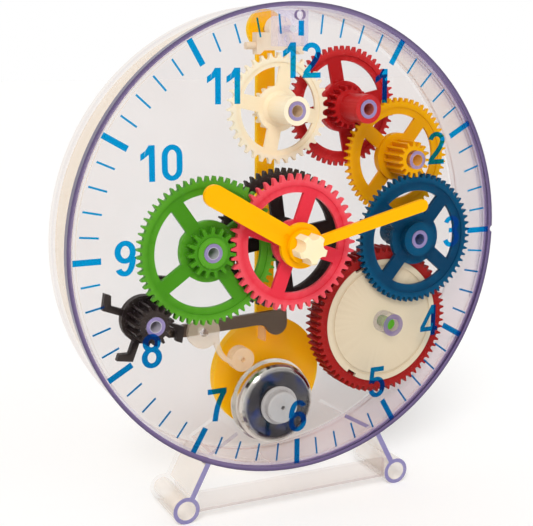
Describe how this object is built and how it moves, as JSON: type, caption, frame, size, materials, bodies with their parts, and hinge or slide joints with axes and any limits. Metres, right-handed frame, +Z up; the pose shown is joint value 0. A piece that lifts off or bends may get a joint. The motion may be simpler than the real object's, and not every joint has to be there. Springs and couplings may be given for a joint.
{
  "type": "teaching clock",
  "caption": "Round clear mechanical teaching clock with coloured gear wheels, dial plate, hands, wind-up barrel, bell with hammer and a pendulum, standing on clear legs.",
  "frame": {"origin": "on the surface that the clock stands on, below the middle of its bounding box", "axes": "+Z up, -Y out of the dial towards whoever reads it, +X to the right across the dial"},
  "size_m": [0.1678, 0.0518, 0.1816],
  "materials": {
    "clear_plastic": "clear, glossy",
    "bell_metal": "polished",
    "white_nylon": "satin",
    "dark_red_plastic": "glossy",
    "beige_plastic": "satin",
    "steel_strip": "satin",
    "green_plastic": "glossy",
    "black_plastic": "glossy",
    "hand_yellow_plastic": "glossy",
    "cream_plastic": "glossy",
    "pink_plastic": "glossy",
    "blue_plastic": "glossy",
    "yellow_plastic": "glossy",
    "red_plastic": "glossy"
  },
  "bodies": {
    "case": {"front_cover": "clear_plastic", "rear_case": "clear_plastic", "anchor_bracket": "clear_plastic", "left_leg": "clear_plastic", "right_leg": "clear_plastic", "cross_strip": "clear_plastic", "bell": "bell_metal", "bell_plug": "white_nylon"},
    "barrel": {"barrel_gear": "dark_red_plastic", "barrel_cover": "beige_plastic", "mainspring": "steel_strip"},
    "winding": {"winding_arbor": "green_plastic", "winding_key": "green_plastic"},
    "minute": {"centre_wheel": "black_plastic", "cannon_pinion": "black_plastic", "minute_pipe": "black_plastic", "minute_hand": "hand_yellow_plastic", "star_knob": "cream_plastic"},
    "hour": {"hour_wheel": "pink_plastic", "hour_hand": "hand_yellow_plastic"},
    "green": {"minute_wheel": "green_plastic"},
    "trip": {"trip_wheel": "black_plastic"},
    "blue": {"blue_wheel": "blue_plastic"},
    "yellow": {"yellow_wheel": "yellow_plastic"},
    "red": {"red_wheel": "red_plastic"},
    "escape": {"escape_wheel": "cream_plastic"},
    "pendulum": {"anchor": "cream_plastic", "anchor_arbor": "steel_strip", "pendulum_rod": "yellow_plastic", "pendulum_bob": "yellow_plastic"},
    "hammer": {"hammer_lever": "steel_strip", "hammer_arm": "white_nylon"}
  },
  "joints": [
    {"name": "blue_spin", "type": "hinge", "parent": "case", "child": "blue", "pos_m": [0.05235, 0, 0.09541], "axis": [0, 1, 0], "continuous": true},
    {"name": "barrel_spin", "type": "hinge", "parent": "case", "child": "barrel", "pos_m": [0.04025, 0, 0.06383], "axis": [0, 1, 0], "continuous": true},
    {"name": "minute_spin", "type": "hinge", "parent": "case", "child": "minute", "pos_m": [0, 0, 0.0977], "axis": [0, 1, 0], "continuous": true},
    {"name": "hour_spin", "type": "hinge", "parent": "case", "child": "hour", "pos_m": [0, 0, 0.0977], "axis": [0, 1, 0], "continuous": true},
    {"name": "green_spin", "type": "hinge", "parent": "case", "child": "green", "pos_m": [-0.03186, 0, 0.0967], "axis": [0, 1, 0], "continuous": true},
    {"name": "trip_spin", "type": "hinge", "parent": "case", "child": "trip", "pos_m": [-0.05319, 0, 0.07301], "axis": [0, 1, 0], "continuous": true},
    {"name": "yellow_spin", "type": "hinge", "parent": "case", "child": "yellow", "pos_m": [0.05026, 0, 0.12534], "axis": [0, 1, 0], "continuous": true},
    {"name": "red_spin", "type": "hinge", "parent": "case", "child": "red", "pos_m": [0.0288, 0, 0.14455], "axis": [0, 1, 0], "continuous": true},
    {"name": "escape_spin", "type": "hinge", "parent": "case", "child": "escape", "pos_m": [0, 0, 0.1445], "axis": [0, 1, 0], "continuous": true},
    {"name": "winding_spin", "type": "hinge", "parent": "case", "child": "winding", "pos_m": [0.04025, 0, 0.06383], "axis": [0, 1, 0], "continuous": true},
    {"name": "pendulum_swing", "type": "hinge", "parent": "case", "child": "pendulum", "pos_m": [0, 0, 0.1725], "axis": [0, 1, 0], "range_deg": [-4, 4]},
    {"name": "hammer_lift", "type": "hinge", "parent": "case", "child": "hammer", "pos_m": [-0.0304, 0, 0.0654], "axis": [0, -1, 0], "range_deg": [0, 10]}
  ],
  "couplings": [
    {"joint": "barrel_spin", "follows": "blue_spin", "ratio": -0.22727},
    {"joint": "minute_spin", "follows": "blue_spin", "ratio": 0.25},
    {"joint": "green_spin", "follows": "blue_spin", "ratio": -0.0625},
    {"joint": "hour_spin", "follows": "blue_spin", "ratio": 0.020833},
    {"joint": "trip_spin", "follows": "blue_spin", "ratio": 0.25},
    {"joint": "yellow_spin", "follows": "blue_spin", "ratio": -4},
    {"joint": "red_spin", "follows": "blue_spin", "ratio": 12},
    {"joint": "escape_spin", "follows": "blue_spin", "ratio": -36}
  ]
}
